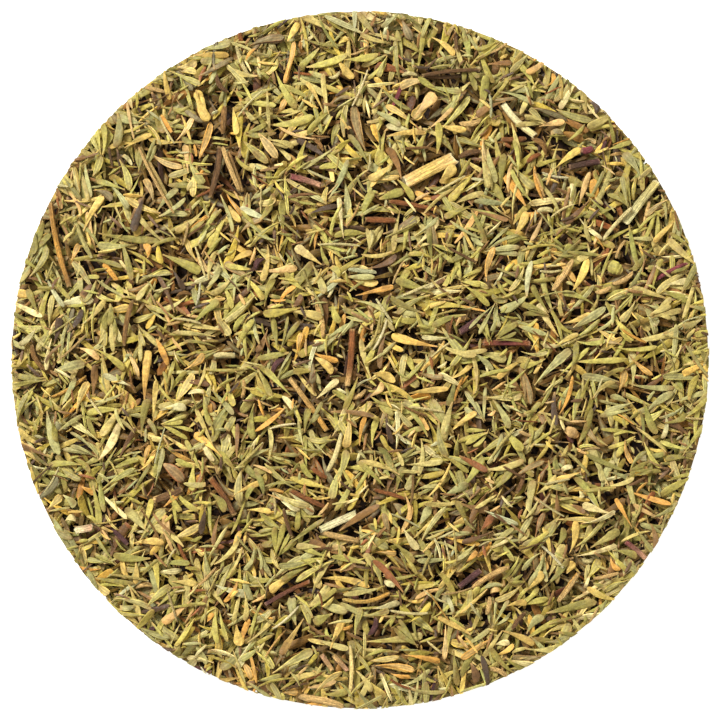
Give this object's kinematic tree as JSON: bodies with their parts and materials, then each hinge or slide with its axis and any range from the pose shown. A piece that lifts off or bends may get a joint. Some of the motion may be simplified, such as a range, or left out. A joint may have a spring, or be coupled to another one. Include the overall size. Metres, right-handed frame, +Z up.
{
  "type": "round bed of dried thyme leaves",
  "caption": "Level round bed of loose dried thyme leaves with stem bits, straw chips and single leaves lying on top.",
  "frame": {"origin": "centre of the round flat underside", "axes": "+Z up through the bed; +Y towards the top edge of the picture, +X towards its right edge"},
  "size_m": [0.1196, 0.1195, 0.012],
  "materials": {
    "leaf_green": "matte velvety dried leaf, olive and sage green",
    "leaf_golden": "matte dried leaf, golden yellow to orange tan",
    "leaf_brown": "matte dried leaf, dark brown to rust",
    "stem_brown": "fibrous dry stem, red brown with a pale cut end",
    "stem_purple": "fibrous dry stem, dark purple to crimson",
    "straw": "pale ribbed straw and split stem"
  },
  "bodies": {
    "root": {"leaf_bed": "leaf_green", "brown_stem_01": "stem_brown", "brown_stem_02": "stem_brown", "brown_stem_03": "stem_brown", "brown_stem_04": "stem_brown", "brown_stem_05": "stem_brown", "brown_stem_06": "stem_brown", "brown_stem_07": "stem_brown", "brown_stem_08": "stem_brown", "brown_stem_09": "stem_brown", "brown_stem_10": "stem_brown", "brown_stem_11": "stem_brown", "brown_stem_12": "stem_brown", "brown_stem_13": "stem_brown", "brown_stem_14": "stem_brown", "purple_stem_01": "stem_purple", "purple_stem_02": "stem_purple", "purple_stem_03": "stem_purple", "purple_stem_04": "stem_purple", "purple_stem_05": "stem_purple", "purple_stem_06": "stem_purple", "purple_stem_07": "stem_purple", "straw_chip_01": "straw", "straw_chip_02": "straw", "straw_chip_03": "straw", "straw_chip_04": "straw", "straw_chip_05": "straw", "straw_chip_06": "straw", "golden_leaf_01": "leaf_golden", "golden_leaf_02": "leaf_golden", "golden_leaf_03": "leaf_golden", "golden_leaf_04": "leaf_golden", "golden_leaf_05": "leaf_golden", "golden_leaf_06": "leaf_golden", "golden_leaf_07": "leaf_golden", "golden_leaf_08": "leaf_golden", "golden_leaf_09": "leaf_golden", "golden_leaf_10": "leaf_golden", "golden_leaf_11": "leaf_golden", "brown_leaf_01": "leaf_brown", "brown_leaf_02": "leaf_brown", "brown_leaf_03": "leaf_brown", "brown_leaf_04": "leaf_brown", "green_leaf_01": "leaf_green", "green_leaf_02": "leaf_green", "green_leaf_03": "leaf_green", "green_leaf_04": "leaf_green", "green_leaf_05": "leaf_green", "green_leaf_06": "leaf_green", "tan_flake_01": "leaf_golden", "green_flake_01": "leaf_green"}
  },
  "joints": []
}
